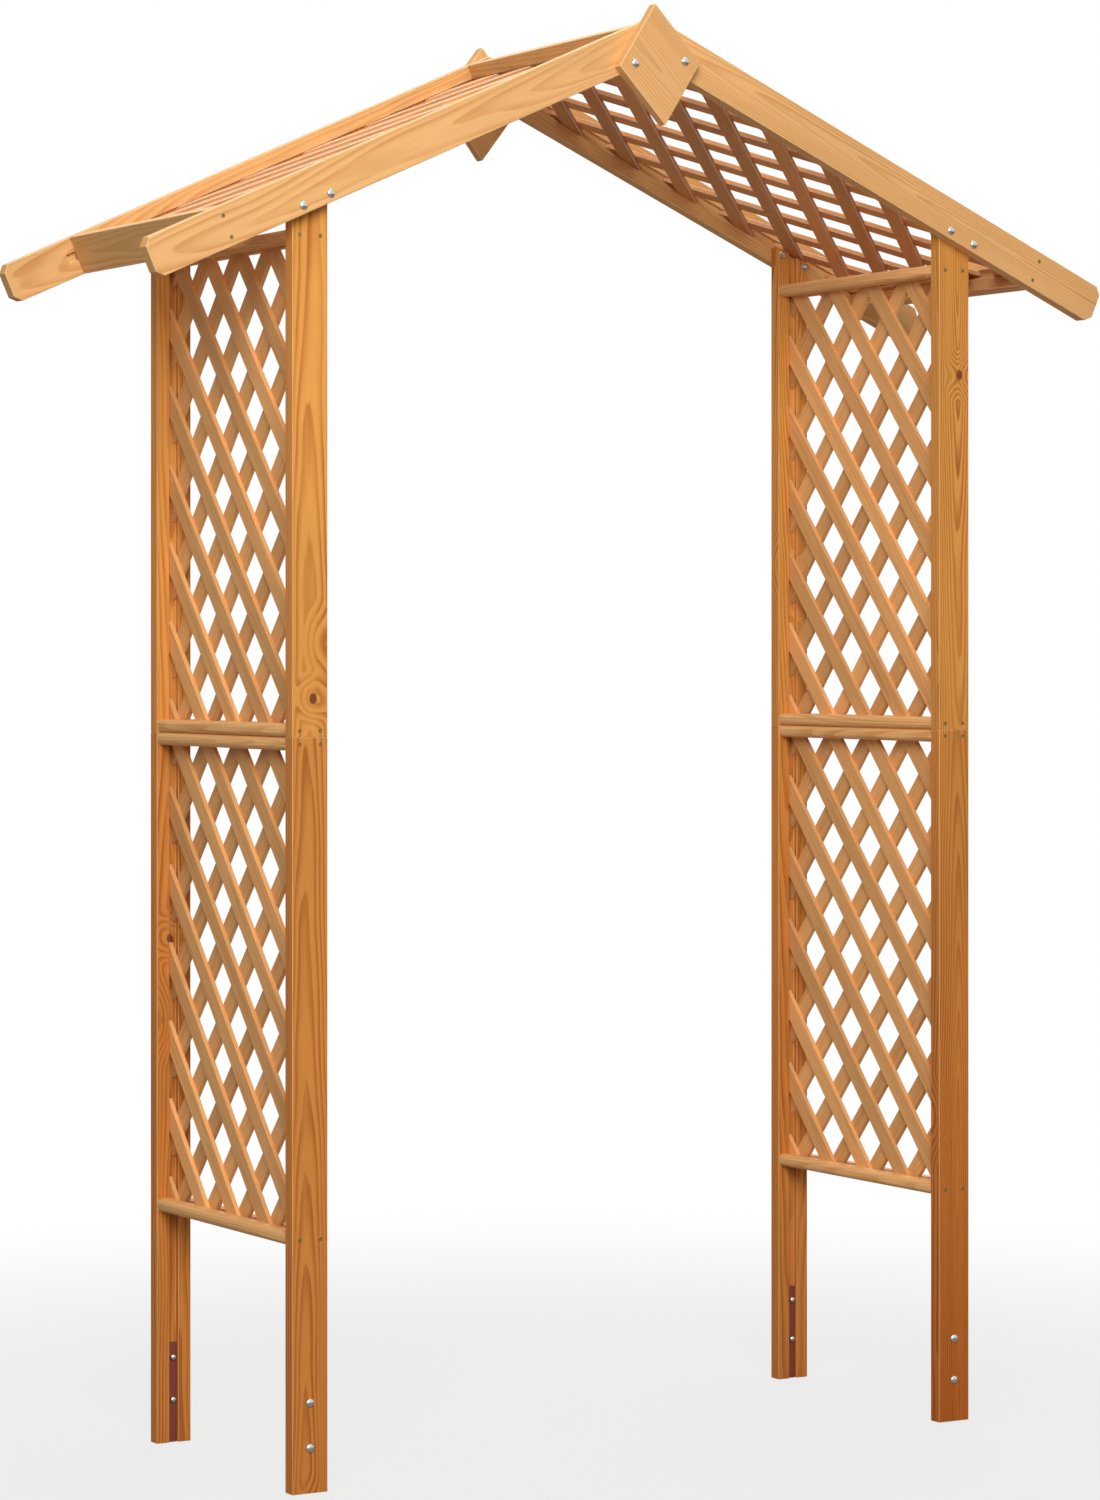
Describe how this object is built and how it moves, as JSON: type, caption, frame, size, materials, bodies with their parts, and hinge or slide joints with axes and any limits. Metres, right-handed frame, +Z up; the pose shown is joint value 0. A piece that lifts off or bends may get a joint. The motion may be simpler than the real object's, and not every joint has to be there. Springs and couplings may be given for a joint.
{
  "type": "rose arch",
  "caption": "Free-standing wooden garden arch with slim grooved posts, diagonal lattice sides and a pitched lattice roof between rafters.",
  "frame": {"origin": "on the ground, at the centre between the four posts", "axes": "+Z up, +Y through the walkway from the front to the back, +X across the walkway to the right"},
  "size_m": [2.0584, 0.69, 2.6813],
  "materials": {
    "frame_wood": "satin honey-brown stain on planed softwood",
    "lath_wood": "satin honey-brown stain on planed softwood",
    "strip_steel": "satin dark red-brown coat"
  },
  "bodies": {
    "root": {"post_front_left_lower": "frame_wood", "post_front_left_upper": "frame_wood", "post_front_right_lower": "frame_wood", "post_front_right_upper": "frame_wood", "post_back_left_lower": "frame_wood", "post_back_left_upper": "frame_wood", "post_back_right_lower": "frame_wood", "post_back_right_upper": "frame_wood", "side_lattice_left_lower": "lath_wood", "side_lattice_left_upper": "lath_wood", "side_lattice_right_lower": "lath_wood", "side_lattice_right_upper": "lath_wood", "rails_left_lower_bottom": "frame_wood", "rails_left_lower_top": "frame_wood", "rails_left_upper_bottom": "frame_wood", "rails_left_upper_top": "frame_wood", "rails_right_lower_bottom": "frame_wood", "rails_right_lower_top": "frame_wood", "rails_right_upper_bottom": "frame_wood", "rails_right_upper_top": "frame_wood", "rafter_front_left": "frame_wood", "rafter_front_right": "frame_wood", "rafter_back_left": "frame_wood", "rafter_back_right": "frame_wood", "ridge_board_left": "frame_wood", "ridge_board_right": "frame_wood", "eave_board_left": "frame_wood", "eave_board_right": "frame_wood", "roof_lattice_left": "lath_wood", "roof_lattice_right": "lath_wood", "gable_plate_front": "frame_wood", "gable_plate_back": "frame_wood", "ground_strip_front_left": "strip_steel", "ground_strip_front_right": "strip_steel", "ground_strip_back_left": "strip_steel", "ground_strip_back_right": "strip_steel"}
  },
  "joints": []
}
